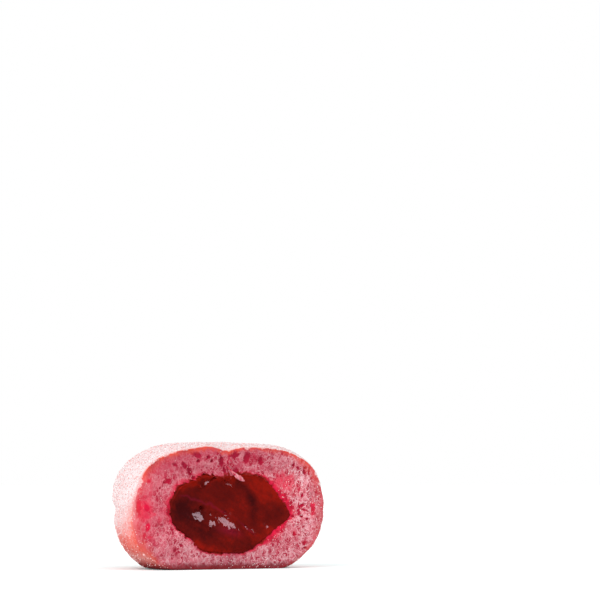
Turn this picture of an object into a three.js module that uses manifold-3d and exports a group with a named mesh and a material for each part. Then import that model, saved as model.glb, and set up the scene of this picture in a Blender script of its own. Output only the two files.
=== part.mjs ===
// A small filled doughnut, of the size eaten in two bites, with its near end sliced away. The slice shows
// the open crumb, the thin fried crust round it and the jam that was piped into the middle. Two solids: the
// dough with its pocket, and the jam that fills the pocket. Millimetres, +Z up, the cut faces -Y, and the
// origin is under the middle of what is left, on the surface that it rests on.
import * as THREE from "three";
import { mergeVertices } from "three/addons/utils/BufferGeometryUtils.js";
import Module from "manifold-3d";

// The whole bite, before it was sliced
const BITE_WIDTH = 50;
const BITE_HEIGHT = 29.5;
const BELT_HEIGHT = 13.9; // where its two fried sides meet
const FOOT_SINK = 2.3; // how far the round underside is flattened by its own weight
const CROWN_POWER = { right: 3.05, left: 2.92 }; // 2 would be an ellipse, more is boxier
const UNDERSIDE_POWER = { right: 2.27, left: 2.64 };
const SKIN_DETAIL = 12; // each edge of the starting icosahedron is split this many times, plus one

// The slice
const CUT_FORWARD = 5.5; // the knife passed this far in front of the middle
const KNIFE_SAG = { depth: 0.95, reach: 2.6 }; // the knife pressed the crown down beside the cut
const CRUST_THICKNESS = 0.8;

// The jam and its pocket
const FILLING_CENTRE = { x: 0, z: 13 };
const FILLING_DEPTH = 17; // how far it runs back from the cut
const FILLING_GAP = 0.3; // between the jam and the crumb

const wasm = await Module();
wasm.setup();

// A closed three.js geometry as a solid that can be cut and joined.
function solidOf(geometry) {
  const bare = geometry.clone().deleteAttribute("normal").deleteAttribute("uv");
  const merged = mergeVertices(bare, 1e-4);
  return new wasm.Manifold(
    new wasm.Mesh({
      numProp: 3,
      vertProperties: merged.attributes.position.array,
      triVerts: new Uint32Array(merged.index.array),
    }),
  );
}

// The largest body of a solid as a three.js geometry. Crumbs that a cut sets loose are dropped.
function geometryOf(solid) {
  const bodies = solid.decompose().sort((a, b) => b.volume() - a.volume());
  const mesh = bodies[0].getMesh();
  return new THREE.BufferGeometry()
    .setAttribute("position", new THREE.BufferAttribute(mesh.vertProperties, 3))
    .setIndex(new THREE.BufferAttribute(mesh.triVerts, 1));
}

// Moves every vertex of a geometry to where the function puts it.
function reshape(geometry, place) {
  const position = geometry.attributes.position;
  const point = new THREE.Vector3();
  for (let i = 0; i < position.count; i++) {
    point.fromBufferAttribute(position, i);
    place(point);
    position.setXYZ(i, point.x, point.y, point.z);
  }
  return geometry;
}

// A repeatable random source, from 0 to 1.
function randomSource(seed) {
  let state = seed;
  return () => {
    state = (Math.imul(state, 1664525) + 1013904223) >>> 0;
    return state / 4294967296;
  };
}

const bell = (distance, width) => Math.exp(-((distance / width) ** 2));
const sum = (list, value) => list.reduce((total, item) => total + value(item), 0);

// The whole bite's skin: a boxy round bun with low lumps, a faint belt where its two fried sides meet,
// pinched in at two places, and a crease that the knife left in the crown.
const BELT = { depth: 0.12, drop: 0.1, halfHeight: 1.8 };
const LOBE = { height: 0.4, rise: 1, halfHeight: 3 }; // the skin swells a little above the belt
const PINCHES = [
  { heading: 152, depth: 0.9, halfAngle: 30 },
  { heading: 38, depth: 0.8, halfAngle: 22 },
];
const LUMPS = [
  { along: new THREE.Vector3(4.2, 2.8, 1.6), phase: 2.9, height: 0.16 },
  { along: new THREE.Vector3(-2.6, 5.2, 4.4), phase: 0.9, height: 0.14 },
  { along: new THREE.Vector3(6.8, -4.4, 6.2), phase: 2.5, height: 0.1 },
];
const CREASE = { x: -1.5, depth: 0.9, halfWidth: 2.6, reach: 6 };

const degreesBetween = (a, b) => Math.abs(((a - b + 540) % 360) - 180);

// Takes a point on a ball of radius 1 to its place on the skin.
function placeOnSkin(point) {
  const radius = BITE_WIDTH / 2;
  const above = BITE_HEIGHT - BELT_HEIGHT;
  const below = BELT_HEIGHT + FOOT_SINK;
  const direction = point.clone().multiply(new THREE.Vector3(1, 1, above / radius)).normalize();
  const sideways = new THREE.Vector3(direction.x, direction.y, 0).normalize();

  // A section through the middle is a superellipse, boxier at one end than at the other.
  const upward = direction.z >= 0;
  const boxy = upward ? CROWN_POWER : UNDERSIDE_POWER;
  const power = THREE.MathUtils.lerp(boxy.right, boxy.left, 0.5 - 0.5 * sideways.x);
  const flat = Math.hypot(direction.x, direction.y) / radius;
  const tall = Math.abs(direction.z) / (upward ? above : below);
  point.copy(direction).multiplyScalar((flat ** power + tall ** power) ** (-1 / power));

  const heading = THREE.MathUtils.radToDeg(Math.atan2(sideways.y, sideways.x));
  const pinch = sum(PINCHES, (p) => p.depth * bell(degreesBetween(heading, p.heading), p.halfAngle));
  const belt = (BELT.depth + pinch) * bell(point.z + BELT.drop, BELT.halfHeight);
  const lobe = LOBE.height * bell(point.z - LOBE.rise, LOBE.halfHeight);
  const lump = sum(LUMPS, (l) => l.height * Math.sin(direction.dot(l.along) + l.phase));
  point.addScaledVector(direction, lump);
  point.addScaledVector(sideways, lobe - belt);

  const behindCut = point.y + CUT_FORWARD;
  const sag = KNIFE_SAG.depth * bell(behindCut, KNIFE_SAG.reach);
  const crease = CREASE.depth * bell(point.x - CREASE.x, CREASE.halfWidth) * bell(behindCut, CREASE.reach);
  point.z -= (sag + crease) * (Math.max(point.z, 0) / above);
  point.z += BELT_HEIGHT;
}

// The slab that the slice takes away. Its back is as uneven as crumb that tears a little under the knife.
const SLICE = { width: 64, depth: 30, height: 44, columns: 22, rows: 14 };
const TEARS = [
  { x: 0.61, z: 0.3, phase: 0, depth: 0.14 },
  { x: -0.27, z: 0.83, phase: 1.3, depth: 0.14 },
];

const waviness = (waves, x, z) => sum(waves, (w) => w.depth * Math.sin(w.x * x + w.z * z + w.phase));

function slicedAway() {
  const { width, depth, height, columns, rows } = SLICE;
  const slab = new THREE.BoxGeometry(width, depth, height, columns, 1, rows);
  return reshape(slab, (point) => {
    const onTheBack = point.y > 0;
    point.z += BELT_HEIGHT;
    point.y -= CUT_FORWARD + depth / 2;
    if (onTheBack) point.y += waviness(TEARS, point.x, point.z);
  });
}

// The block under the table top: what it takes away leaves the flat foot.
function underTheFoot() {
  const thickness = 10;
  const block = new THREE.BoxGeometry(BITE_WIDTH * 1.4, BITE_WIDTH * 1.4, thickness);
  return block.translate(0, 0, -thickness / 2);
}

// The pocket's outline in the cut, an eye with a blunt upper right corner: a smooth closed curve through
// the places where it turns, counted from its centre.
const OUTLINE = [
  [15.3, -0.7],
  [12.6, 3.7],
  [10.2, 6.5],
  [7.4, 8.5],
  [3.5, 8.8],
  [-1.2, 8.4],
  [-6.0, 8.5],
  [-9.4, 7.5],
  [-12.8, 6.0],
  [-14.7, 3.4],
  [-15.4, 1.5],
  [-14.4, -2.4],
  [-10.1, -5.9],
  [-6.4, -8.7],
  [3.0, -9.1],
  [7.3, -7.2],
  [11.0, -4.1],
];
const OUTLINE_STEPS = 180;

const outlineCorners = OUTLINE.map(([x, z]) => new THREE.Vector3(x, 0, z));
const outlineTurns = new THREE.CatmullRomCurve3(outlineCorners, true, "catmullrom", 0.5)
  .getPoints(OUTLINE_STEPS)
  .map((point) => ({ angle: Math.atan2(point.z, point.x), reach: point.length() }))
  .sort((a, b) => a.angle - b.angle);

// The distance from the pocket's centre to its outline, that way round.
function outlineReach(angle) {
  const next = outlineTurns.findIndex((turn) => turn.angle >= angle);
  if (next <= 0) return outlineTurns[0].reach;
  const [before, after] = [outlineTurns[next - 1], outlineTurns[next]];
  const share = (angle - before.angle) / (after.angle - before.angle);
  return THREE.MathUtils.lerp(before.reach, after.reach, share);
}

// A place in the cut as the way round the pocket's centre and the distance from it.
function aroundTheFilling(x, z) {
  const angle = Math.atan2(z - FILLING_CENTRE.z, x - FILLING_CENTRE.x);
  return { angle, distance: Math.hypot(x - FILLING_CENTRE.x, z - FILLING_CENTRE.z) };
}

// A blob with that outline at the cut. It closes to a round end inside the dough, and reaches out of the cut
// as far as the front asks. The inset makes it smaller all round.
const BLOB = { around: 56, rings: 14, endPower: 2.3, front: 3 };

function fillingBlob(inset) {
  const blob = new THREE.SphereGeometry(1, BLOB.around, BLOB.rings);
  return reshape(blob, (point) => {
    // The sphere's poles are the blob's two ends.
    const along = point.y;
    const isPole = Math.abs(along) >= 1;
    const angle = Math.atan2(point.z, point.x);
    const narrowing = along < 0 ? 1 : (1 - along ** BLOB.endPower) ** (1 / BLOB.endPower);
    const reach = isPole ? 0 : (outlineReach(angle) - inset) * narrowing;
    const depth = along < 0 ? BLOB.front : FILLING_DEPTH - inset;
    const x = FILLING_CENTRE.x + Math.cos(angle) * reach;
    const z = FILLING_CENTRE.z + Math.sin(angle) * reach;
    point.set(x, along * depth - CUT_FORWARD, z);
  });
}

// Air bubbles that the slice opened, larger ones first and none touching, in the crumb between the jam and
// the crust.
const PORES = { count: 110, smallest: 0.35, largest: 1, roundFrom: 0.9, spacing: 1.25, seed: 7, tries: 9000 };
const PORE_SHAPE = { stretch: 0.7, depth: 1.3, sunk: 0.35, turn: 1.6 };
const CRUMB = { power: 2.7, edge: 0.9, clearOfJam: 0.5 };

// Whether a bubble of that size fits into the crumb there.
function fitsInTheCrumb(x, z, size) {
  const { angle, distance } = aroundTheFilling(x, z);
  const margin = size + 1.4 * CRUST_THICKNESS;
  const flat = Math.abs(x) / (BITE_WIDTH / 2 - margin);
  const tall = Math.abs(z - BELT_HEIGHT) / (BELT_HEIGHT - margin);
  const insideCrust = flat ** CRUMB.power + tall ** CRUMB.power < CRUMB.edge;
  return insideCrust && distance - outlineReach(angle) > size + CRUMB.clearOfJam;
}

function pores() {
  const random = randomSource(PORES.seed);
  const placed = [];
  for (let attempt = 0; attempt < PORES.tries && placed.length < PORES.count; attempt++) {
    const size = THREE.MathUtils.lerp(PORES.largest, PORES.smallest, Math.sqrt(placed.length / PORES.count));
    const x = (random() - 0.5) * BITE_WIDTH;
    const z = random() * BITE_HEIGHT;
    const apart = placed.every((p) => Math.hypot(p.x - x, p.z - z) > PORES.spacing * (p.size + size));
    if (apart && fitsInTheCrumb(x, z, size)) {
      const turn = aroundTheFilling(x, z).angle + PORE_SHAPE.turn * (random() - 0.5);
      placed.push({ x, z, size, turn, stretch: 1 + PORE_SHAPE.stretch * random() });
    }
  }
  const bubbles = placed.map(({ x, z, size, turn, stretch }) => {
    const bubble = new THREE.IcosahedronGeometry(size, size > PORES.roundFrom ? 1 : 0);
    bubble.scale(stretch, PORE_SHAPE.depth, 1 / Math.sqrt(stretch)).rotateY(-turn);
    return solidOf(bubble.translate(x, PORE_SHAPE.sunk * size - CUT_FORWARD, z));
  });
  return wasm.Manifold.union(bubbles);
}

// A strip of crumb that the knife left hanging over the jam, from the pocket's roof down to the right. Grown
// all round by the same gap, it is also what the jam keeps clear of.
const STRIP = { x: 1.5, z: 21.4, length: 5.8, thickness: 1.3, width: 1.5, sunk: 0.35, slope: -33 };

function hangingStrip(grow) {
  const { length, thickness, width } = STRIP;
  const strip = new THREE.SphereGeometry(1, 16, 8);
  strip.scale(length / 2 + grow, thickness / 2 + grow, width / 2 + grow);
  strip.rotateY(THREE.MathUtils.degToRad(-STRIP.slope));
  return solidOf(strip.translate(STRIP.x, STRIP.sunk - CUT_FORWARD, STRIP.z));
}

// The jam's face in the cut: it sinks away under the crumb's roof, and comes forward again over two folds
// that run down to the right.
const JAM_SUNK = 1.35;
const FOLDS = [
  { z: 13, fall: 0.54, softness: 1.1, step: 0.8 },
  { z: 9.7, fall: 0.2, softness: 1.3, step: 1.4 },
];
const SWELLS = [
  { x: -11.5, z: 14, across: 3.4, tall: 3, height: -0.45 },
  { x: 7.5, z: 17, across: 3.5, tall: 3.5, height: 0.5 },
  { x: -3, z: 9, across: 3, tall: 2, height: 0.35 },
];
const RIPPLES = [
  { x: 1.9, z: 0.8, phase: 0, depth: 0.08 },
  { x: 1.1, z: -2.7, phase: 0, depth: 0.05 },
];
const RIM_POWER = 6; // how steeply the jam's face comes back to the cut at its rim
const JAM_SLAB = { width: 40, depth: 14, height: 26, columns: 36, rows: 24 };

// How far the jam stands out of the cut there.
function jamFace(x, z) {
  const folds = sum(FOLDS, (f) => f.step * (0.5 - 0.5 * Math.tanh((z - f.z + f.fall * x) / f.softness)));
  const swells = sum(SWELLS, (s) => s.height * bell(x - s.x, s.across) * bell(z - s.z, s.tall));
  return folds + swells + waviness(RIPPLES, x, z) - JAM_SUNK;
}

// The slab in front of the jam. Taken away from the blob, it leaves the jam's face.
function clearOfTheJam() {
  const { width, depth, height, columns, rows } = JAM_SLAB;
  const slab = new THREE.BoxGeometry(width, depth, height, columns, 1, rows);
  return reshape(slab, (point) => {
    const onTheBack = point.y > 0;
    point.x += FILLING_CENTRE.x;
    point.z += FILLING_CENTRE.z;
    point.y -= CUT_FORWARD + depth / 2;
    if (!onTheBack) return;
    // The rim of the jam meets the crumb at the cut, whatever its middle does.
    const { angle, distance } = aroundTheFilling(point.x, point.z);
    const share = Math.min(distance / outlineReach(angle), 1);
    point.y -= jamFace(point.x, point.z) * (1 - share ** RIM_POWER);
  });
}

function doughGeometry() {
  const ball = new THREE.IcosahedronGeometry(1, SKIN_DETAIL);
  const whole = solidOf(reshape(ball, placeOnSkin));
  const hollowed = whole
    .subtract(solidOf(slicedAway()))
    .subtract(solidOf(underTheFoot()))
    .subtract(solidOf(fillingBlob(0)));
  return geometryOf(hollowed.subtract(pores()).add(hangingStrip(0)));
}

function jamGeometry() {
  const blob = solidOf(fillingBlob(FILLING_GAP));
  const faced = blob.subtract(solidOf(clearOfTheJam()));
  return geometryOf(faced.subtract(hangingStrip(FILLING_GAP)));
}

const dough = new THREE.Mesh(
  doughGeometry(),
  new THREE.MeshStandardMaterial({ color: 0xdd8a98, roughness: 0.85, metalness: 0 }),
);
dough.name = "dough";

const jam = new THREE.Mesh(
  jamGeometry(),
  new THREE.MeshStandardMaterial({ color: 0x7a100f, roughness: 0.12, metalness: 0 }),
);
jam.name = "jam";

const bite = new THREE.Group().add(dough, jam);
const bounds = new THREE.Box3().setFromObject(bite);
const middle = bounds.getCenter(new THREE.Vector3());
bite.position.set(-middle.x, -middle.y, -bounds.min.z);

export default bite;
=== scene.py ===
# A small filled doughnut of the size eaten in two bites, with its end sliced away, on a plain pale floor.
import math

import bpy
import numpy as np
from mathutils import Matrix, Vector, noise


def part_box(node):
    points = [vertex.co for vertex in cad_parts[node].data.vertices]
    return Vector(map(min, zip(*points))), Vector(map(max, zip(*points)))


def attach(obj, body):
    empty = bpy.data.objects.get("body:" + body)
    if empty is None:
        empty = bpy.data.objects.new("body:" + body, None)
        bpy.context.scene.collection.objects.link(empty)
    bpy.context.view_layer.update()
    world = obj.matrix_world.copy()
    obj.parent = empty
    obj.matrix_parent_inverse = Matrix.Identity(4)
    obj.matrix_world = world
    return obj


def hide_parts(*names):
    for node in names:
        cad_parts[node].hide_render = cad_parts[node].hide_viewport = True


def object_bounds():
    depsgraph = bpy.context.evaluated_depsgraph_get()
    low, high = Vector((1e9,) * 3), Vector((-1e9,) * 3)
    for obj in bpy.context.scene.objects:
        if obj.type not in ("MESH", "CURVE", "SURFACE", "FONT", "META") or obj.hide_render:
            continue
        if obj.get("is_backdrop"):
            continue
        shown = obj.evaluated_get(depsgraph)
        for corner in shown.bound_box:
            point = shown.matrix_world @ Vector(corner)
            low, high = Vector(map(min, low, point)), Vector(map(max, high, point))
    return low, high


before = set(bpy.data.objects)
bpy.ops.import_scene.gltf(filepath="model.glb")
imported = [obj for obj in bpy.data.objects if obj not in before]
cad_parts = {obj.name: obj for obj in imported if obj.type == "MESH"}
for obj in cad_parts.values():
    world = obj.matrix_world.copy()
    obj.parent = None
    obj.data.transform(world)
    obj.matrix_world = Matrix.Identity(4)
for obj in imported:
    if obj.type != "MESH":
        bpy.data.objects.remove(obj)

cad_low, cad_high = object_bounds()

# Camera
# A long lens, just above the height of the table, looks at the cut from a little to the left. The bite
# stands low and left in the picture, so the camera is turned up and to the right of it.
MM = 0.001
PICTURE = 600  # pixels each way
LENS = 150
SENSOR = 36
EYE = {
    "azimuth": math.radians(-26),
    "elevation": math.radians(0.5),
    "distance": 596 * MM,
    "round": 14.5 * MM,  # the height above the table that it is turned round
}
SEEN_AT = {"x": 203.7, "y": 506}  # the pixel where the bite's middle shows

pixels_at_one = PICTURE * LENS / SENSOR  # how many pixels show what is as wide as it is far away
aim_right = math.atan((PICTURE / 2 - SEEN_AT["x"]) / pixels_at_one)
aim_up = math.atan((SEEN_AT["y"] - PICTURE / 2) / pixels_at_one)
bpy.ops.object.select_all(action="DESELECT")
bpy.ops.object.camera_add(
    location=(
        EYE["distance"] * math.sin(EYE["azimuth"]) * math.cos(EYE["elevation"]),
        -EYE["distance"] * math.cos(EYE["azimuth"]) * math.cos(EYE["elevation"]),
        EYE["distance"] * math.sin(EYE["elevation"]) + EYE["round"],
    ),
    rotation=(math.pi / 2 - EYE["elevation"] + aim_up, 0, EYE["azimuth"] - aim_right),
)
camera = bpy.context.active_object
camera.name = "camera"
camera.data.lens = LENS
camera.data.sensor_width = SENSOR
camera.data.clip_start = 0.01
camera.data.clip_end = 50
bpy.context.scene.camera = camera


# Dough
# Fried yeast dough, coloured pink: a thin orange-red crust round an open crumb. It rose as one ball, was
# fried on both sides, which leaves the belt between them, and a knife has taken its near end off.
# The mesh is one sheet of rings. They start at the bottom of the jam's pocket, come forward along its wall,
# cross the cut to the crust and go back over the skin to a point at the back.
RADIUS = 25
BITE_HEIGHT = 29.5
BELT_HEIGHT = 13.9
FOOT_SINK = 2.3  # how much of the round underside the flat foot takes away
ABOVE_BELT = BITE_HEIGHT - BELT_HEIGHT
BELOW_BELT = BELT_HEIGHT + FOOT_SINK
CROWN_POWER = {"right": 3.05, "left": 2.92}  # 2 would be an ellipse, more is boxier
UNDERSIDE_POWER = {"right": 2.27, "left": 2.64}
CUT_FORWARD = 5.5  # from the middle of the whole bite to the cut
KNIFE_SAG = {"depth": 0.95, "reach": 2.6}  # the knife pressed the crown down beside the cut
CREASE = {"x": -1.5, "depth": 0.9, "half_width": 2.6, "reach": 6}  # and left a crease in it
BELT = {"depth": 0.12, "drop": 0.1, "half_height": 1.8}  # the groove between the two fried sides
LOBE = {"height": 0.4, "rise": 1, "half_height": 3}  # the slight bulge just above it
PINCHES = [  # where the groove is deeper
    {"heading": 152, "depth": 0.9, "half_angle": 30},
    {"heading": 38, "depth": 0.8, "half_angle": 22},
]
LUMPS = [  # low waves in the skin, each with the direction that it runs along
    {"along": (4.2, 2.8, 1.6), "phase": 2.9, "height": 0.16},
    {"along": (-2.6, 5.2, 4.4), "phase": 0.9, "height": 0.14},
    {"along": (6.8, -4.4, 6.2), "phase": 2.5, "height": 0.1},
]
FOOT_ROUNDING = 0.5  # how softly the skin meets the flat foot
FOOT_SPREAD = {"share": 0.4, "reach": 1.6}  # the soft dough sags outwards where it meets the table


def bell(distance, width):
    return np.exp(-((distance / width) ** 2))


def smooth(low, high, value):
    share = np.clip((value - low) / (high - low), 0, 1)
    return share * share * (3 - 2 * share)


def degrees_apart(a, b):
    return np.abs((a - b + 540) % 360 - 180)


def on_the_skin(direction):
    """Takes directions from the whole bite's middle to their places on its skin, in mm above the table."""
    direction = direction * (1, 1, ABOVE_BELT / RADIUS)
    direction = direction / np.linalg.norm(direction, axis=-1, keepdims=True)
    level = np.hypot(direction[..., 0], direction[..., 1])
    side = direction * (1, 1, 0) / np.maximum(level, 1e-9)[..., None]

    upward = direction[..., 2] >= 0
    leftness = 0.5 - 0.5 * side[..., 0]
    crown = CROWN_POWER["right"] + leftness * (CROWN_POWER["left"] - CROWN_POWER["right"])
    under = UNDERSIDE_POWER["right"] + leftness * (UNDERSIDE_POWER["left"] - UNDERSIDE_POWER["right"])
    power = np.where(upward, crown, under)
    tall = np.abs(direction[..., 2]) / np.where(upward, ABOVE_BELT, BELOW_BELT)
    reach = ((level / RADIUS) ** power + tall**power) ** (-1 / power)
    point = direction * reach[..., None]

    heading = np.degrees(np.arctan2(side[..., 1], side[..., 0]))
    pinched = BELT["depth"]
    for pinch in PINCHES:
        away = degrees_apart(heading, pinch["heading"])
        pinched = pinched + pinch["depth"] * bell(away, pinch["half_angle"])
    belt = pinched * bell(point[..., 2] + BELT["drop"], BELT["half_height"])
    lobe = LOBE["height"] * bell(point[..., 2] - LOBE["rise"], LOBE["half_height"])
    lumpy = sum(lump["height"] * np.sin(direction @ lump["along"] + lump["phase"]) for lump in LUMPS)
    point = point + direction * lumpy[..., None] + side * (lobe - belt)[..., None]

    behind = point[..., 1] + CUT_FORWARD
    sag = KNIFE_SAG["depth"] * bell(behind, KNIFE_SAG["reach"])
    across_crease = bell(point[..., 0] - CREASE["x"], CREASE["half_width"])
    crease = CREASE["depth"] * across_crease * bell(behind, CREASE["reach"])
    point[..., 2] -= (sag + crease) * np.maximum(point[..., 2], 0) / ABOVE_BELT
    point[..., 2] += BELT_HEIGHT
    return point


def on_the_table(height):
    """Presses what would lie under the table flat on to it, with a soft start."""
    soft = FOOT_ROUNDING
    rounded = np.where(height < -soft, 0, (height + soft) ** 2 / (4 * soft))
    height = np.where(height > soft, height, rounded)
    return height * (1 - FOOT_SPREAD["share"] * bell(height, FOOT_SPREAD["reach"]))


# The jam's pocket: its outline in the cut, given where it turns and counted from the pocket's middle
POCKET = {"x": 0, "z": 13, "depth": 17, "end_power": 2.3}
OUTLINE = [
    (15.3, -0.7), (12.6, 3.7), (10.2, 6.5), (7.4, 8.5), (3.5, 8.8), (-1.2, 8.4),
    (-6.0, 8.5), (-9.4, 7.5), (-12.8, 6.0), (-14.7, 3.4), (-15.4, 1.5), (-14.4, -2.4),
    (-10.1, -5.9), (-6.4, -8.7), (3.0, -9.1), (7.3, -7.2), (11.0, -4.1),
]


def pocket_reach(angles):
    """The distance from the pocket's middle to its outline, along a smooth curve through its corners."""
    corners = np.array(OUTLINE)
    steps = np.linspace(0, 1, 12, endpoint=False)[:, None]
    curve = []
    for i in range(len(corners)):
        before, start, end, after = (corners[(i + k) % len(corners)] for k in (-1, 0, 1, 2))
        bend = 2 * before - 5 * start + 4 * end - after
        twist = 3 * (start - end) + after - before
        curve.append(0.5 * (2 * start + (end - before) * steps + bend * steps**2 + twist * steps**3))
    curve = np.concatenate(curve)
    turns = np.arctan2(curve[:, 1], curve[:, 0])
    return np.interp(angles, turns, np.hypot(curve[:, 0], curve[:, 1]), period=2 * math.pi)


def noise_at(points, size, seed):
    """Smooth noise from about -0.8 to 0.8 at each point, with lumps of that size in mm."""
    flat = points.reshape(-1, 3) / size + (seed, 2.3 * seed, -1.7 * seed)
    return np.array([noise.noise(Vector(p)) for p in flat]).reshape(points.shape[:-1])


def rough(points, *layers):
    """Noise in layers. Each layer has its height, the size of its lumps in mm and its seed."""
    return sum(height * noise_at(points, size, seed) for height, size, seed in layers)


noise.seed_set(4)  # or noise_vector would start from the clock


def bubbles_at(points, size, share, wall, seed, tall=1.0, lean=0.0):
    """The crumb's opened bubbles of one size: 0 at their walls and outside them, and about 1 deep inside.

    size is the bubble's width in mm, share how many of them are open, wall how soft the edge is, tall how
    much longer than wide, and lean how far they lean to the left, in radians.
    """
    turn = Vector((math.cos(lean), 0, math.sin(lean))), Vector((-math.sin(lean), 0, math.cos(lean)))
    depths = []
    for place in points.reshape(-1, 3):
        point = Vector(place)  # moved a little, so that the bubbles are irregular
        point = point + noise.noise_vector(point / (0.8 * size)) * 0.5 * size
        cell = Vector((point.dot(turn[0]) / size + seed, seed, point.dot(turn[1]) / (size * tall)))
        near, seeds = noise.voronoi(cell)
        opened = max(0.0, 0.5 + 0.5 * noise.cell(seeds[0] * 9.7) - 1 + share) / share
        depths.append(min(1.0, 1.8 * opened) * min((near[1] - near[0]) / wall, 1.0))
    return np.array(depths).reshape(points.shape[:-1])


def wrapped_grid(name, around, rings):
    """A grid to be wrapped round a piece: its columns go round it and its rows are its rings."""
    bpy.ops.object.select_all(action="DESELECT")
    bpy.ops.mesh.primitive_grid_add(x_subdivisions=around, y_subdivisions=rings, size=2)
    grid = bpy.context.active_object
    grid.name = name
    grid.data.name = name
    return grid


def place_vertices(piece, points):
    """Puts the vertices at points in mm, in the whole bite's own place, moved to where the frame has it."""
    piece.data.vertices.foreach_set("co", ((points.reshape(-1, 3) + to_frame) * MM).ravel())
    piece.data.update()


def store(piece, name, values):
    attribute = piece.data.attributes.new(name, "FLOAT", "POINT")
    attribute.data.foreach_set("value", np.asarray(values, np.float32).ravel())


def close_seams(piece):
    """Merges the grid's two ends and its poles, and turns all faces outwards."""
    bpy.ops.object.select_all(action="DESELECT")
    bpy.context.view_layer.objects.active = piece
    piece.select_set(True)
    bpy.ops.object.mode_set(mode="EDIT")
    bpy.ops.mesh.select_all(action="SELECT")
    bpy.ops.mesh.remove_doubles(threshold=1e-6)
    bpy.ops.mesh.normals_make_consistent(inside=False)
    bpy.ops.object.mode_set(mode="OBJECT")
    bpy.ops.object.shade_smooth()


# How fine the mesh is: the steps round each ring, and the rings in each part of the sheet
AROUND = 820
POCKET_RINGS = 8
FACE_RINGS = 84
SKIN_RINGS = 28
dough_rings = POCKET_RINGS + FACE_RINGS + SKIN_RINGS

angles = np.linspace(0, 2 * math.pi, AROUND + 1)
headings = np.degrees(angles)  # in the cut: 0 to the right, 90 up, 180 to the left
across = np.stack([np.cos(angles), np.zeros(AROUND + 1), np.sin(angles)], -1)
along_y = np.array([0.0, 1.0, 0.0])


def round_the_cut(least, *bumps):
    """A value at each heading of the cut: the least one, and more round each bump's heading.

    A bump gives how much more, its heading and its half angle in degrees.
    """
    return sum((more * bell(degrees_apart(headings, at), half) for more, at, half in bumps), start=least)


# The knife pressed the left edge of the cut round, and left the rest of it nearly sharp
edge_round = round_the_cut(0.2, (1.1, 195, 45))


def skin_at(turn_from_front):
    """The skin on each meridian round the Y axis, at that angle from the front."""
    turn = np.asarray(turn_from_front)[..., None]
    return on_the_skin(across * np.sin(turn) - along_y * np.cos(turn))


# The angle on each meridian where the cut meets the skin
nearer, further = np.full(AROUND + 1, 0.4), np.full(AROUND + 1, 2.2)
for halving in range(30):
    middle = (nearer + further) / 2
    in_front = skin_at(middle)[:, 1] < edge_round - CUT_FORWARD
    nearer = np.where(in_front, middle, nearer)
    further = np.where(in_front, further, middle)
cut_turn = (nearer + further) / 2

# Where the whole bite's own middle is in the frame
back = on_the_skin(along_y[None])[0, 1]
to_frame = np.array([0.0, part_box("dough")[1].y / MM - back, 0.0])


def roughened(skin):
    """The skin with the low blisters of frying, wide ones and narrow ones."""
    outward = skin - (0, 0, BELT_HEIGHT)
    outward = outward / np.linalg.norm(outward, axis=-1, keepdims=True)
    blisters = rough(skin, (0.14, 3.2, 5.1), (0.07, 1.3, 8.4))
    return skin + outward * blisters[..., None]


skin_shares = np.linspace(0, 1, SKIN_RINGS + 1)[:, None] ** 1.25  # closer together near the cut
skin_turns = cut_turn + (math.pi - cut_turn) * skin_shares
skin = roughened(np.stack([skin_at(turn) for turn in skin_turns]))
skin[..., 2] = on_the_table(skin[..., 2])
edge = skin[0]

# The rim is ragged at the top and left, where the crumb tore, and cleaner elsewhere
pocket_edge = pocket_reach(angles)
middle_of_pocket = np.array([POCKET["x"], -CUT_FORWARD, POCKET["z"]])
on_the_rim = middle_of_pocket + across * pocket_edge[:, None]
torn_rim = round_the_cut(0.35, (0.65, 110, 85))
ragged = torn_rim * rough(on_the_rim, (0.8, 1.3, 2.2), (0.6, 0.5, 4.9))
rim = middle_of_pocket + across * (pocket_edge + ragged)[:, None]


def rounded_end(inward):
    """What share of its width the pocket still has, at that share of its depth."""
    return (1 - inward ** POCKET["end_power"]) ** (1 / POCKET["end_power"])


wall = []
for ring in range(POCKET_RINGS):
    inward = math.cos(math.pi / 2 * ring / POCKET_RINGS)
    depth = along_y * POCKET["depth"] * inward
    reach = (pocket_edge + ragged * (1 - inward)) * rounded_end(inward)
    wall.append(middle_of_pocket + depth + across * reach[:, None])

face_shares = np.linspace(0, 1, FACE_RINGS + 1)[:-1, None, None]
flat_edge = edge * (1, 0, 1) - along_y * CUT_FORWARD
face = rim + (flat_edge - rim) * face_shares
from_skin = np.linalg.norm(flat_edge - face, axis=-1)
from_rim = np.linalg.norm(face - rim, axis=-1)

# The knife dragged the crumb into shallow waves. Those of the solid are the same.
TEARS = [
    {"x": 0.61, "z": 0.3, "phase": 0, "depth": 0.14},
    {"x": -0.27, "z": 0.83, "phase": 1.3, "depth": 0.14},
]
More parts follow.
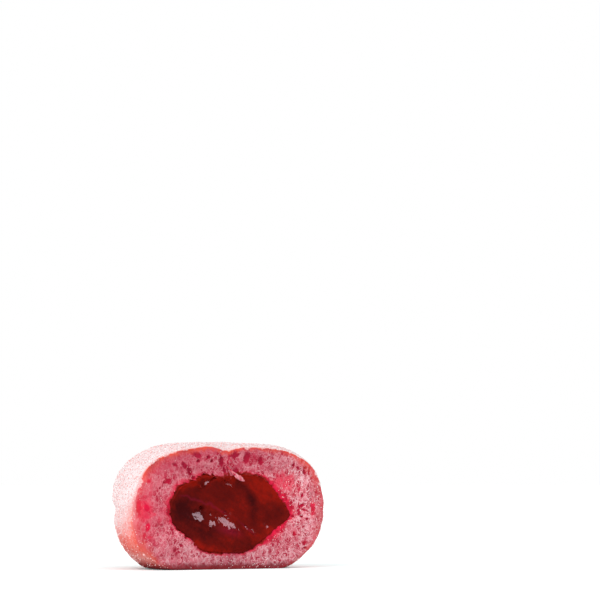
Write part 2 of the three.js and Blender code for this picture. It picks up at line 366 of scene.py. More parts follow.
# The larger holes, the deepest above the jam: middle, half length, half width, lean in degrees and depth
HOLES = [
    (-8.6, 26.4, 1.4, 0.6, -20, 0.5),
    (-6.0, 25.9, 0.5, 0.4, 0, 0.6),
    (-8.4, 25.0, 0.4, 0.4, 0, 0.8),
    (-5.1, 25.1, 0.35, 0.35, 0, 0.8),
    (-2.6, 25.0, 1.1, 0.6, 80, 0.7),
    (-1.7, 23.1, 0.9, 0.35, 100, 0.6),
    (-12.1, 24.0, 0.8, 0.45, -60, 0.6),
    (-10.7, 22.6, 1.2, 0.5, -65, 0.8),
    (-9.7, 21.2, 0.6, 0.4, -50, 0.7),
    (0.9, 26.3, 0.9, 0.75, 0, 0.5),
    (4.1, 25.8, 1.1, 0.8, 80, 0.5),
    (7.8, 25.2, 1.1, 0.5, 75, 0.5),
    (1.4, 22.8, 0.8, 0.6, 40, 0.4),
    (16.2, 24.1, 0.5, 0.4, 0, 0.6),
    (19.3, 22.4, 0.5, 0.45, 0, 0.6),
    (20.6, 22.8, 0.9, 0.3, 80, 0.4),
    (18.7, 14.6, 0.9, 0.4, 25, 0.2),
    (19.3, 13.6, 0.7, 0.3, -20, 0.2),
    (16.6, 8.1, 0.6, 0.4, 90, 0.3),
    (19.5, 5.8, 0.5, 0.45, 90, 0.4),
    (-14.3, 4.6, 0.5, 0.45, 0, 0.4),
    (-12.9, 5.6, 0.45, 0.35, 90, 0.4),
    (-11.6, 7.4, 0.45, 0.3, -20, 0.5),
    (-9.0, 5.8, 0.4, 0.3, -20, 0.5),
    (-16.0, 13.3, 0.9, 0.45, 100, 0.4),
    (-14.5, 24.2, 0.55, 0.45, 0, 0.5),
    (-16.1, 20.5, 0.8, 0.55, 20, 0.3),
    (-17.1, 20.0, 0.25, 0.25, 0, 0.4),
    (-18.1, 18.8, 0.25, 0.25, 0, 0.4),
    (17.6, 23.5, 0.5, 0.3, -30, 0.5),
    (19.5, 23.5, 0.4, 0.3, 0, 0.5),
    (18.7, 17.0, 0.5, 0.35, 60, 0.4),
    (16.4, 12.1, 0.35, 0.3, 0, 0.4),
    (18.7, 12.1, 0.5, 0.3, -20, 0.5),
    (20.0, 11.5, 0.35, 0.3, 0, 0.5),
    (19.5, 4.7, 0.6, 0.25, 20, 0.5),
]
# The crumb is dense at the far left and opens up away from there, and most in two places, which are given
# by middle, reach to the side, reach up and strength.
AIRY = [
    (16, 19, 7, 6, 0.35),
    (-14, 22, 5, 4, 0.3),
]
HOLE_DEPTH = 0.6  # what a hole's depth of 1 is, in mm
MEDIUM_BUBBLES = {"size": 0.9, "share": 0.35, "wall": 0.35, "tall": 1.25, "lean": 0.3, "seed": 7.7}
FINE_BUBBLES = {"size": 0.5, "share": 0.7, "wall": 0.35, "seed": 12.9}
BUBBLE_DEPTHS = {"medium": 0.1, "fine": 0.05}  # in mm
RIM_ROLL = {"depth": 0.35, "width": 0.7}  # how the pocket's rim turns back towards the jam


def mounds(x, z, places):
    """Soft mounds. Each has its middle, how far it reaches to the side and up, and how high it is."""
    high = 0
    for middle_x, middle_z, wide, tall, height in places:
        high = high + height * bell(x - middle_x, wide) * bell(z - middle_z, tall)
    return high


def from_oval(x, z, middle_x, middle_z, half_length, half_width, lean=0):
    """How far each place is from an oval's middle, counted so that the oval's edge is at 1."""
    lean = math.radians(lean)
    right, up = x - middle_x, z - middle_z
    along = (right * math.cos(lean) + up * math.sin(lean)) / half_length
    over = (up * math.cos(lean) - right * math.sin(lean)) / half_width
    return np.hypot(along, over)


x, z = face[..., 0], face[..., 2]
at_top = smooth(20.5, 23.5, z)
airy = 0.4 + 0.5 * smooth(-20, -7, x + 1.1 * (12 - z) + 7 * at_top) + mounds(x, z, AIRY)
ragged_edge = rough(face, (0.45, 0.9, 3.9), (0.3, 0.4, 7.2))
holes = np.zeros(x.shape)
shaded = np.zeros(x.shape)
hole_depth = np.zeros(x.shape)
for *oval, depth in HOLES:
    away = from_oval(x, z, *oval) + ragged_edge
    hole = 1 - smooth(0.4, 1.25, away)
    holes = np.maximum(holes, hole)
    hole_depth = np.maximum(hole_depth, hole * depth)
    shaded = np.maximum(shaded, 1 - smooth(0.6, 2.2, away))
medium = airy * bubbles_at(face, **MEDIUM_BUBBLES)
fine = airy * bubbles_at(face, **FINE_BUBBLES)
inside = smooth(0.2, 1.0, from_skin)
torn = sum(tear["depth"] * np.sin(tear["x"] * x + tear["z"] * z + tear["phase"]) for tear in TEARS)
lumpy = rough(face, (0.2, 2.2, 6.3), (0.1, 0.9, 1.9))
rolled = np.maximum(edge_round - from_skin, 0)
rolled_back = edge_round - np.sqrt(edge_round**2 - rolled**2)
rim_rolled = RIM_ROLL["depth"] * (1 - smooth(0, RIM_ROLL["width"], from_rim))
pitted = HOLE_DEPTH * hole_depth + BUBBLE_DEPTHS["medium"] * medium + BUBBLE_DEPTHS["fine"] * fine
face[..., 1] += rolled_back + inside * (torn + lumpy + pitted + rim_rolled)

surface = np.concatenate([np.stack(wall), face, skin])
dough = wrapped_grid("dough_crumb_and_crust", AROUND, dough_rings)
place_vertices(dough, surface)

# What the materials read from the mesh, each made for the pocket's wall, the face and the skin
on_wall = np.zeros((POCKET_RINGS, AROUND + 1))
on_skin = np.zeros((SKIN_RINGS + 1, AROUND + 1))


def all_over(wall_value, face_values, skin_values):
    return np.concatenate([on_wall + wall_value, face_values, on_skin + skin_values])


# pores: how deep in an opened bubble, which the crumb's colour follows: darker crimson, partly its own
# colour in the bubbles and partly painted shade in them, round the larger holes and on the pocket's wall.
# airy: how open the crumb is.
pores = np.clip(0.9 * holes + 0.35 * shaded + 0.35 * medium + 0.1 * fine, 0, 1.2)
store(dough, "pores", all_over(0.9, pores, 0))
store(dough, "airy", all_over(0, airy * inside, 0))

# crusty: how far the crust shows in the cut. It is blotchy, and thickest at the right and then at the left,
# where the knife pressed some crumb over it.
crust_seen = round_the_cut(0.85, (1.2, 138, 28), (1.2, 195, 35), (1.8, 15, 40))
uneven_skin = from_skin + rough(face, (0.6, 0.9, 3.7), (0.3, 0.4, 6.6))
crusty = 1 - smooth(0.0, 1.5, uneven_skin / crust_seen)
crusty *= 0.6 + 0.4 * smooth(-0.3, 0.3, noise_at(face, 2.0, 1.7))
crusty *= round_the_cut(1, (-0.2, 0, 50), (-0.75, 183, 28))
store(dough, "crusty", all_over(0, crusty, 1))

# The crust is painted darker crimson towards the lower right: painted shade, where its edge rounds away
# from
# the light. dense: the close crumb along the left.
rosy = smooth(75, 30, degrees_apart(headings, -20)) * np.ones(x.shape)
dense = bell(degrees_apart(headings, 168), 38) * bell(from_skin - 1.5, 3.0)
store(dough, "rosy", all_over(0, rosy, 0))
store(dough, "dense", all_over(0, dense, 0))

# pale: how pale the crumb is. It grows paler towards the right and the table, but less so at the far lower
# right, and is paler at the upper left. The patches are given by middle, half width and half height.
PALER = [
    (-17, 21, 4, 4, 0.3),
    (17, 7, 5, 4, -0.3),
]
PALE_PATCHES = [
    (-11.1, 21.5, 1.3, 1.3),
    (-9.2, 22.6, 0.8, 1.0),
    (-6.4, 24.2, 1.2, 1.6),
    (-3.6, 24.8, 0.8, 1.4),
    (-1.3, 25.4, 0.7, 1.1),
    (-0.4, 24.2, 0.7, 1.1),
    (5.5, 23.6, 2.4, 0.8),
    (11.2, 21.6, 1.0, 1.4),
    (17.7, 17.9, 1.4, 1.4),
    (16.0, 22.5, 3.0, 1.4),
    (18.0, 19.5, 1.4, 1.8),
    (-16.6, 11.9, 0.8, 0.8),
    (-11.3, 8.1, 0.8, 0.7),
    (-7.0, 4.9, 0.7, 0.5),
]
pale = 0.1 + 0.6 * smooth(-14, 10, x + 1.3 * (13 - z)) * smooth(0.2, 1.5, from_rim)
pale *= 1 - 0.5 * at_top * smooth(14, 8, x)
pale += mounds(x, z, PALER)
blotchy = 0.35 * noise_at(face, 0.8, 2.4)
for oval in PALE_PATCHES:
    pale += 0.6 * (1 - smooth(0.2, 1.3, from_oval(x, z, *oval) + blotchy))
store(dough, "pale", all_over(0, pale, 0))

# deep: the darker crumb above the pocket, partly denser crimson crumb and partly painted shade under the
# overhanging crown; the pocket's wall is painted half as dark, as shade. low: towards the table the crumb
# is painted darker and greyer, which is painted shade, and the crust darker and browner.
deep = np.clip(0.1 * bell(x + 14, 5) + 0.9 * at_top * smooth(22, 12, x), 0, 1)
low = (1 - smooth(0.5, 9, z)) * (0.6 + 0.4 * bell(x + 2, 8))
store(dough, "deep", all_over(0.5, deep, 0))
store(dough, "low", all_over(0, low, 1 - smooth(1, 8, skin[..., 2])))

# jammy: jam lies on the crumb at the pocket's rim. stained: its juice has soaked further in, and into a few
# spots, which are given by middle, half width, half height and strength.
SOAKED = [
    (16.4, 17.6, 0.9, 1.6, 0.6),
    (13.8, 20.0, 3.6, 3.4, 0.75),
    (17.5, 18.5, 1.2, 2.2, 0.6),
    (21.6, 14.2, 0.7, 2.2, 0.9),
    (0.0, 4.0, 2.6, 0.5, 0.8),
    (-0.6, 25.0, 1.6, 1.6, 0.35),
    (6.0, 25.2, 3.4, 1.3, 0.35),
    (-21.1, 20.4, 0.7, 0.6, 0.9),
    (-23.4, 14.5, 0.9, 2.0, 0.9),
    (-22.0, 13.8, 2.0, 3.0, 0.7),
    (-21.6, 14.3, 0.8, 1.3, 1.0),
    (-21.2, 9.8, 0.7, 1.1, 1.0),
    (-22.0, 7.9, 0.5, 0.9, 0.8),
    (-20.6, 7.6, 0.7, 0.4, 0.7),
    (-19.6, 12.8, 0.6, 0.4, 0.6),
    (-18.4, 11.2, 0.5, 1.1, 0.5),
    (-16.0, 13.0, 1.4, 2.4, 0.45),
    (-16.3, 20.6, 0.9, 0.8, 0.4),
    (-11.5, 20.2, 2.2, 0.9, 0.6),
    (17.9, 14.3, 1.4, 0.9, 0.4),
    (16.6, 8.1, 0.5, 0.7, 0.7),
    (19.5, 5.9, 0.6, 0.6, 0.6),
]
rim_soaked = round_the_cut(0.25, (0.6, 90, 45), (0.2, 185, 40), (0.7, 148, 14))
rim_stained = round_the_cut(0.9, (2.4, 20, 25), (2.8, -28, 16), (0.6, 180, 25), (0.9, 148, 16))
uneven_rim = from_rim + rough(face, (0.7, 1.2, 8.8), (0.25, 0.4, 5.3))
jammy = 1 - smooth(0.4, 1.1, uneven_rim / rim_soaked)
stained = 0.95 * (1 - smooth(0.25, 1.3, uneven_rim / rim_stained))
for *oval, strength in SOAKED:
    spot = strength * (1 - smooth(0.5, 1.3, from_oval(x, z, *oval) + blotchy))
    stained = np.maximum(stained, spot)
store(dough, "jammy", all_over(1, jammy, 0))
store(dough, "stained", all_over(1, stained, 0))

# Where sugar has dropped on to the cut: mostly on the open crumb at the right, and along the left edge
dusted = (0.12 + 0.88 * smooth(0, 14, x + 0.9 * (13 - z))) * smooth(0.3, 1.2, from_rim)
dusted += 2.5 * bell(from_skin - 0.2, 0.3) * bell(degrees_apart(headings, 165), 25)
dusted += 0.6 * bell(from_skin - 0.6, 0.9) * bell(degrees_apart(headings, 218), 25)
dust_held = all_over(0, dusted, 0)

# sugared: where the sugar holds on the skin, all over the top, thinner down the sides and hardly at all
# below. Beside the cut the knife wiped some of it off, most of it low at the left, and pressed some on to
# the right rim.
SUGAR_LINE = {"bare": 6, "full": 19, "least": 0.05, "lower_behind": 0.18}
KNIFE_WIPED = {"share": 0.25, "reach": 1.0, "all_up_to": 8, "none_from": 18}
WIPED_MORE = {"share": 0.4, "reach": 2.5, "below": 16, "softness": 3}
PRESSED_ON = {"share": 0.7, "reach": 0.8, "none_up_to": 14, "all_from": 20}
BY_THE_FOOT = {"share": 0.15, "height": 2.5, "reach": 1.5}


def sugared(points):
    right, height = points[..., 0], points[..., 2]
    behind = points[..., 1] + CUT_FORWARD
    patchy = height + rough(points, (1.5, 5, 1.4), (1.2, 1.3, 9.9)) + SUGAR_LINE["lower_behind"] * behind
    line = smooth(SUGAR_LINE["bare"], SUGAR_LINE["full"], patchy)
    lower, softness = WIPED_MORE["below"], WIPED_MORE["softness"]
    below = smooth(lower + softness, lower - softness, height)
    wiped = KNIFE_WIPED["share"] + WIPED_MORE["share"] * below
    wiped *= bell(behind, KNIFE_WIPED["reach"] + WIPED_MORE["reach"] * below)
    wiped *= smooth(KNIFE_WIPED["none_from"], KNIFE_WIPED["all_up_to"], right)
    pressed_on = PRESSED_ON["share"] * bell(behind, PRESSED_ON["reach"])
    pressed_on *= smooth(PRESSED_ON["none_up_to"], PRESSED_ON["all_from"], right)
    by_the_foot = BY_THE_FOOT["share"] * bell(height - BY_THE_FOOT["height"], BY_THE_FOOT["reach"])
    held = SUGAR_LINE["least"] + (1 - SUGAR_LINE["least"]) * line
    return np.clip(held * (1 - wiped) + pressed_on + by_the_foot, 0, 1)


# Some of it spills over the edge on to the cut, in clumps
clumps = 0.5 * np.maximum(rough(face, (1, 1.4, 3.1), (0.6, 0.5, 5.8)), 0)
clumps *= round_the_cut(1, (1.5, 158, 32), (0.5, 85, 30))
spilled = 0.45 * edge_round + clumps
over_the_edge = 1 - smooth(0.6, 1.4, from_skin / spilled)
sugar_held = all_over(0, 0.7 * sugared(face) * over_the_edge, sugared(skin))
store(dough, "sugared", sugar_held)

# foot: what lay in the hot fat longest, and is the darkest
FOOT_FRIED = {"cut": 2.1, "skin": 3.0}  # how high the dark foot reaches
height = surface[..., 2] + 0.4 * noise_at(surface, 1.1, 4.2)
fried_up_to = all_over(FOOT_FRIED["cut"], np.full(x.shape, FOOT_FRIED["cut"]), FOOT_FRIED["skin"])
store(dough, "foot", 0.9 * (1 - smooth(0.2, 1, height / fried_up_to)))


def linear(hex_colour):
    """An sRGB hex colour as the linear colour that Blender takes."""
    parts = [int(hex_colour[i : i + 2], 16) / 255 for i in (1, 3, 5)]
    return (*[p / 12.92 if p <= 0.04045 else ((p + 0.055) / 1.055) ** 2.4 for p in parts], 1)


def add_node(tree, kind, inputs=(), stops=(), **settings):
    """Adds a shader node, sets its settings and its colour stops, and sets or links its inputs.

    The inputs are given by name, or else in the node's own order: a MixRGB takes the share of its second
    colour and both colours, a MapRange takes a value, the range it comes from and the range it goes to. An
    input is a number, a vector, a hex colour, an output of another node, or a node for its first output.
    """
    node = tree.nodes.new("ShaderNode" + kind)
    for name, value in settings.items():
        setattr(node, name, value)
    named = inputs if isinstance(inputs, dict) else dict(enumerate(inputs))
    for name, value in named.items():
        if isinstance(value, bpy.types.Node):
            value = value.outputs[0]
        if isinstance(value, bpy.types.NodeSocket):
            tree.links.new(value, node.inputs[name])
        else:
            node.inputs[name].default_value = linear(value) if isinstance(value, str) else value
    for number, (position, hex_colour) in enumerate(stops):
        elements = node.color_ramp.elements
        stop = elements[number] if number < len(elements) else elements.new(position)
        stop.position = position
        stop.color = linear(hex_colour)
    return node


def new_material(name, reads=()):
    """A material whose node tree holds only what it reads from the mesh, that tree, and those values."""
    material = bpy.data.materials.new(name)
    material.use_nodes = True
    tree = material.node_tree
    tree.nodes.clear()
    stored = {value: add_node(tree, "Attribute", attribute_name=value).outputs["Fac"] for value in reads}
    return material, tree, stored


def finished(tree, look):
    """Ends a material's tree with a shader that has that look."""
    shader = add_node(tree, "BsdfPrincipled", look)
    add_node(tree, "OutputMaterial", {"Surface": shader})


def overlaid(tree, colour, layers):
    """Lays other colours over one. Each layer has the share it covers, its strength and its colour."""
    for share, strength, layer_colour in layers:
        covered = add_node(tree, "Math", (share, strength), operation="MULTIPLY")
        colour = add_node(tree, "MixRGB", (covered, colour, layer_colour))
    return colour


# Yeast crumb coloured with beet: matte and open. Its bubbles are painted deep crimson, partly their own
# colour and partly painted shade, their torn walls are pale pink threads, and it is stained where the jam
# has soaked in.
BUBBLE_TALL = 1 / 0.7  # how much taller than wide
CELL_TURN = 0.5  # in radians, so that the cells that the bubbles are made from stand in no rows

CRUMB_READS = "pores airy pale dense stained deep low rosy crusty jammy sugared foot".split()
crumb, tree, stored = new_material("open_pink_yeast_crumb", CRUMB_READS)
place = add_node(tree, "TexCoord").outputs["Object"]
blotch_noise = {"Vector": place, "Scale": 1 / (2.2 * MM), "Detail": 3.0, "Roughness": 0.6}
blotches = add_node(tree, "TexNoise", blotch_noise)
grain = add_node(tree, "TexNoise", {"Vector": place, "Scale": 1 / (0.4 * MM), "Detail": 2.0})
warp = add_node(tree, "TexNoise", {"Vector": place, "Scale": 1 / (0.7 * MM), "Detail": 2.0})
warp_by = (warp.outputs["Color"], (1 * MM, 1 * MM, 1 * MM), place)
warped = add_node(tree, "VectorMath", warp_by, operation="MULTIPLY_ADD")


def bubbles(size, strength, closed, opened):
    """Opened bubbles of that size, and the pale torn walls between them.

    Of the bubbles' random numbers, those up to closed are shut and those from opened on are fully open.
    """
    turned = {"Vector": warped, "Rotation": (0, CELL_TURN, 0), "Scale": (1, 1, 1 / BUBBLE_TALL)}
    cells = {"Vector": add_node(tree, "Mapping", turned), "Scale": 1 / size}
    to_wall = add_node(tree, "TexVoronoi", cells, feature="DISTANCE_TO_EDGE")
    seeds = add_node(tree, "TexVoronoi", cells, feature="F1").outputs["Color"]
    seeds = add_node(tree, "SeparateColor", (seeds,)).outputs
    is_open = add_node(tree, "MapRange", (seeds["Red"], closed, opened))
    is_inside = add_node(tree, "MapRange", (to_wall, 0.02, 0.2))
    is_torn = add_node(tree, "MapRange", (seeds["Green"], 0.35, 0.6))
    is_wall = add_node(tree, "MapRange", (to_wall, 0.14, 0.03))
    hollows = add_node(tree, "Math", (is_open, is_inside), operation="MULTIPLY")
    walls = add_node(tree, "Math", (is_torn, is_wall), operation="MULTIPLY")
    return [add_node(tree, "Math", (share, strength), operation="MULTIPLY") for share in (hollows, walls)]


wide_open, wide_walls = bubbles(0.95 * MM, strength=1.0, closed=0.45, opened=0.85)
small_open, small_walls = bubbles(0.5 * MM, strength=0.7, closed=0.4, opened=0.8)

# The threads show in open crumb, but not in its holes or where it is soaked
threads = add_node(tree, "Math", (wide_walls, small_walls), operation="MAXIMUM")
not_a_hole = add_node(tree, "MapRange", (stored["pores"], 0.8, 0.3))
not_soaked = add_node(tree, "MapRange", (stored["stained"], 0.1, 0.9, 1.0, 0.0))
for share in (stored["airy"], not_a_hole, not_soaked):
    threads = add_node(tree, "Math", (threads, share), operation="MULTIPLY")

# How deep in the crumb each place is: in its bubbles, its blotches and its grain. The crumb is painted
# darker with depth, partly as painted shade in its bubbles.
pits = add_node(tree, "Math", (wide_open, small_open), operation="MAXIMUM")
pits = add_node(tree, "Math", (pits, stored["airy"]), operation="MULTIPLY")
uneven = add_node(tree, "MapRange", (blotches, 0.4, 0.65, -0.35, 0.4))
grainy = add_node(tree, "MapRange", (grain, 0.3, 0.7, -0.2, 0.2))
deepness = stored["pores"]
for deeper in (pits, uneven, grainy):
    deepness = add_node(tree, "Math", (deepness, deeper), operation="ADD")
deepness = add_node(tree, "MapRange", (deepness, -0.1, 0.8))

wall_colour = add_node(tree, "MixRGB", (stored["pale"], "#BE4C5E", "#CE7680"))
pore_colour = add_node(tree, "MixRGB", (stored["pale"], "#A00A2E", "#A60830"))
thread_colour = add_node(tree, "MixRGB", (stored["pale"], "#D8929A", "#E2B6BC"))
stain_colour = add_node(tree, "MixRGB", (deepness, "#D00A38", "#B0062A"))
# The crust in the cut: painted shade, darker crimson, at its lower right, and darker and browner towards
# the table
CRUST_LAYERS = [(stored["rosy"], 1.0, "#B63840"), (stored["low"], 0.8, "#A04434")]
crust_colour = overlaid(tree, "#D44A38", CRUST_LAYERS)
flesh = add_node(tree, "MixRGB", (deepness, wall_colour, pore_colour))
CRUMB_LAYERS = [
    (stored["dense"], 0.6, "#D64052"),
    (stored["stained"], 1.0, stain_colour),
    (threads, 0.9, thread_colour),
    # Painted shade: darker crimson above the pocket, partly the crumb's own colour, and darker and greyer
    # towards the table
    (stored["deep"], 0.4, "#8E1030"),
    (stored["low"], 0.4, "#7C4650"),
    (stored["crusty"], 1.0, crust_colour),
    (stored["jammy"], 1.0, "#86150F"),
    (stored["sugared"], 1.0, "#E6CFCF"),
    (stored["foot"], 1.0, "#70101A"),
]
flesh = overlaid(tree, flesh, CRUMB_LAYERS)
relief = add_node(tree, "TexNoise", {"Vector": place, "Scale": 1 / (0.35 * MM), "Detail": 3.0})
bump = add_node(tree, "Bump", {"Height": relief, "Strength": 0.35, "Distance": 0.1 * MM})
finished(tree, {"Base Color": flesh, "Roughness": 0.85, "Specular IOR Level": 0.25, "Normal": bump})

# Fried crust under a film of melted sugar: satin, orange-red where it is bare, pale pink where sugar holds,
# browner near the table and dark at the foot, where little sugar stays
crust, tree, stored = new_material("fried_crust_with_sugar_film", ("low", "foot", "sugared"))
place = add_node(tree, "TexCoord").outputs["Object"]
patch_noise = {"Vector": place, "Scale": 1 / (4 * MM), "Detail": 4.0, "Roughness": 0.6}
grit_noise = {"Vector": place, "Scale": 1 / (0.5 * MM), "Detail": 3.0, "Roughness": 0.6}
patches = add_node(tree, "MapRange", (add_node(tree, "TexNoise", patch_noise), 0.3, 0.7))
grit = add_node(tree, "TexNoise", grit_noise)
bare = add_node(tree, "MixRGB", (patches, "#D8443A", "#E66454"))
bare = overlaid(tree, bare, [(stored["low"], 0.7, "#B84634"), (stored["foot"], 1.0, "#92181E")])
film = add_node(tree, "Math", (stored["sugared"], grit), operation="ADD")
film = add_node(tree, "MapRange", (film, 0.48, 1.35))
off_the_foot = add_node(tree, "MapRange", (stored["foot"], 0.0, 0.9, 1.0, 0.1))
film = add_node(tree, "Math", (film, off_the_foot), operation="MULTIPLY")
colour = add_node(tree, "MixRGB", (film, bare, "#E3CFD0"))
bump = add_node(tree, "Bump", {"Height": grit, "Strength": 0.5, "Distance": 0.1 * MM})
finished(tree, {"Base Color": colour, "Roughness": 0.6, "Specular IOR Level": 0.3, "Normal": bump})

dough.data.materials.append(crumb)
dough.data.materials.append(crust)
quad_ring = np.repeat(np.arange(dough_rings), AROUND)
on_the_crust = quad_ring >= POCKET_RINGS + FACE_RINGS
dough.data.polygons.foreach_set("material_index", on_the_crust.astype(np.int32))
close_seams(dough)
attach(dough, "root")
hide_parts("dough")


# Strip of crumb
# A shred of the same crumb that the knife pulled loose. It hangs from the pocket's roof, down across the
# jam, and is widest near its loose end.
STRIP = {
    "start": (-1.1, 23.9),
    "bend": (0.8, 21.5),
    "end": (3.3, 20.4),
    "thickness": 1.25,
    "thickest_at": 0.75,  # as a share of its length
    "at_its_ends": 0.35,  # how much of its thickness is left there
    "forward": 0.15,  # how far in front of the cut its root lies
    "swings_out": 0.35,  # and how much further its loose end
}

bpy.ops.object.select_all(action="DESELECT")
bpy.ops.mesh.primitive_uv_sphere_add(segments=56, ring_count=96, radius=1)
strip = bpy.context.active_object
strip.name = "hanging_shred_of_crumb"
strip.data.name = strip.name
ball = np.empty(len(strip.data.vertices) * 3)
strip.data.vertices.foreach_get("co", ball)
ball = ball.reshape(-1, 3)
along = 0.5 + 0.5 * ball[:, 2]  # from 0 at the root to 1 at the loose end
start, bend, end = (np.array(STRIP[key]) for key in ("start", "bend", "end"))
share = along[:, None]
spine = start * (1 - share) ** 2 + 2 * bend * share * (1 - share) + end * share**2
ahead = (bend - start) * (1 - share) + (end - bend) * share
ahead /= np.linalg.norm(ahead, axis=-1, keepdims=True)
girth = STRIP["at_its_ends"] + (1 - STRIP["at_its_ends"]) * bell(along - STRIP["thickest_at"], 0.28)
girth *= STRIP["thickness"] / 2 * (1 + 0.3 * noise_at(ball * (1, 1, 4), 0.9, 2.5))
forward = STRIP["forward"] + STRIP["swings_out"] * along + 0.7 * ball[:, 1] * girth
shred = np.stack(
    [
        spine[:, 0] - ahead[:, 1] * ball[:, 0] * girth,
        -CUT_FORWARD - forward,
        spine[:, 1] + ahead[:, 0] * ball[:, 0] * girth,
    ],
    -1,
)
place_vertices(strip, shred)
store(strip, "pores", 0.5 * noise_at(shred, 0.6, 1.1))
store(strip, "airy", 0 * along + 0.6)
store(strip, "pale", 0 * along + 1)
soaked_edge = 0.4 * smooth(0.6, 1, np.abs(ball[:, 0]) / np.sqrt(1 - 0.98 * ball[:, 2] ** 2))
store(strip, "stained", np.maximum(0.7 * (1 - smooth(0.2, 0.45, along)), soaked_edge))
strip.data.materials.append(crumb)
close_seams(strip)
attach(strip, "root")


# Jam
# Smooth red fruit jam, piped in after frying. In the cut it sinks away under the crumb's roof. Below a
# first fold it comes forward again, and bulges below a second one, wet and glossy.
UPPER_FOLD = {"z": 13.0, "fall": 0.54, "curve": 0.017, "softness": 1.1, "step": 0.7}
LOWER_FOLD = {"z": 10.0, "fall": 0.22, "curve": 0.0, "softness": 1.9, "step": 1.2}
SUNK = 1.2  # how far the top of the jam lies behind the cut
# Soft swells and dips in it: middle, reach to the side, reach up and height
SWELLS = [
    (-12.0, 14.0, 3.4, 3.0, -0.3),
    (-7.1, 14.1, 0.6, 0.55, -1.2),
    (-1.0, 13.2, 0.5, 0.5, -0.6),
    (7.5, 17.0, 3.5, 3.5, 0.4),
    (-3.0, 8.6, 4.0, 2.4, 0.3),
]
# Small flats that the piping left in the wet jam, tilted up and to the right, so that they mirror the soft
# box. Each is given by its middle, half its length and height, its lean, how much of the full tilt it has
# and how ragged its edge is. The large soft one, tilted half as far, mirrors nothing bright: it keeps the
# place where the folds meet dark.
TILT = {"right": 0.13, "up": 0.53}
FLAT_EDGE = 0.22  # how soft a flat's edge is where it doesn't say, as a share of its half height
FLATS = [
    {"x": -8.5, "z": 12.3, "long": 1.5, "high": 1.55, "lean": 60, "tilt": 1.0, "ragged": 0.35},
    {"x": -5.0, "z": 10.5, "long": 1.5, "high": 0.75, "lean": 40, "tilt": 1.0, "ragged": 1.0},
    {"x": -1.4, "z": 10.7, "long": 3.1, "high": 1.05, "lean": -30, "tilt": 1.0, "ragged": 0.9},
    {"x": 6.2, "z": 9.2, "long": 4.0, "high": 2.2, "lean": -35, "tilt": 0.5, "ragged": 0.0, "soft": 0.65},
    {"x": 5.0, "z": 9.15, "long": 1.6, "high": 0.38, "lean": -39, "tilt": 1.6, "ragged": 0.3},
    {"x": -5.5, "z": 20.2, "long": 1.8, "high": 0.3, "lean": 28, "tilt": 0.9, "ragged": 1.1},
    {"x": -0.6, "z": 19.8, "long": 1.3, "high": 0.4, "lean": -28, "tilt": 0.9, "ragged": 0.7},
    {"x": 13.6, "z": 15.6, "long": 0.4, "high": 0.3, "lean": 0, "tilt": 0.9, "ragged": 0.7},
]
# Where the jam is painted darker, partly as thicker jam and partly as painted shade in the hollow under the
# crumb's roof and on the underside of its bulge, and lighter below zero: middle, reach to the side, reach
# up and how much darker
SHADES = [
    (-11.5, 13.0, 4.5, 4.5, 0.7),
    (-6.5, 8.2, 3.5, 2.2, 0.4),
    (-2.5, 17.5, 4.5, 2.5, 0.3),
    (11.5, 12.0, 3.5, 2.5, 0.3),
    (2.0, 5.0, 6.0, 1.8, 0.25),
    (8.5, 18.5, 5.5, 3.5, -0.2),
    (-9.0, 6.8, 1.6, 1.3, -0.25),
]
# A dark band in it, which bows to the right
BAND = {"x": 6.6, "z": 13.5, "middle_z": 16, "bend": 0.09, "across": 1.2, "tall": 5.0, "dark": 0.6}
# Along these stretches the jam's light edge is left off: painted shade, where the crumb shades it
SHADED_EDGES = [  # where its edge isn't thin: heading, half angle and how much of the thinness goes
    (-55, 40, 0.8),
    (188, 26, 0.95),
    (0, 26, 0.6),
]
RIM_POWER = 9  # how late the jam falls back to the cut towards the pocket's rim
UNDER_THE_CRUMB = 0.5  # how far the jam runs on behind the ragged rim of the crumb
BEHIND_THE_RIM = 0.5  # how far behind the cut it does so
INTO_THE_DOUGH = 0.2  # how far its end goes past the pocket's, so that no gap shows
JAM_AROUND = 460
JAM_FACE_RINGS = 130
JAM_BACK_RINGS = 16


def above_fold(fold, x, z):
    """How far a place is above the line of a fold in the jam."""
    return z - fold["z"] + fold["fall"] * x + fold["curve"] * x * x


def folded(fold, x, z):
    """From 0 above a fold in the jam to its full step below it."""
    return fold["step"] * (0.5 - 0.5 * np.tanh(above_fold(fold, x, z) / fold["softness"]))


def jam_relief(x, z):
    """How far the jam stands out of the cut, in mm, before its small flats. Its rim lies in the cut."""
    relief = folded(UPPER_FOLD, x, z) + folded(LOWER_FOLD, x, z) + mounds(x, z, SWELLS) - SUNK
    right, up = x - POCKET["x"], z - POCKET["z"]
    to_edge = np.hypot(right, up) / pocket_reach(np.arctan2(up, right))
    return relief * (1 - np.clip(to_edge, 0, 1) ** RIM_POWER)


def flat_share(flat, x, z, raggedness):
    """1 on a small flat and 0 off it, with a ragged edge between."""
    away = from_oval(x, z, flat["x"], flat["z"], flat["long"], flat["high"], flat["lean"])
    soft = flat.get("soft", FLAT_EDGE)
    return 1 - smooth(1 - soft, 1 + soft, away + flat["ragged"] * raggedness)


def with_flats(x, z, raggedness):
    """The jam's relief with each small flat turned to its own tilt."""
    step = 0.1  # in mm, over which the slope under a flat is measured
    relief = jam_relief(x, z)
    for flat in FLATS:
        here = jam_relief(flat["x"], flat["z"])
        slope_right = (jam_relief(flat["x"] + step, flat["z"]) - here) / step
        slope_up = (jam_relief(flat["x"], flat["z"] + step) - here) / step
        turned = (slope_right + TILT["right"] * flat["tilt"]) * (x - flat["x"])
        turned = turned + (slope_up + TILT["up"] * flat["tilt"]) * (z - flat["z"])
        relief = relief - turned * flat_share(flat, x, z, raggedness)
    return relief


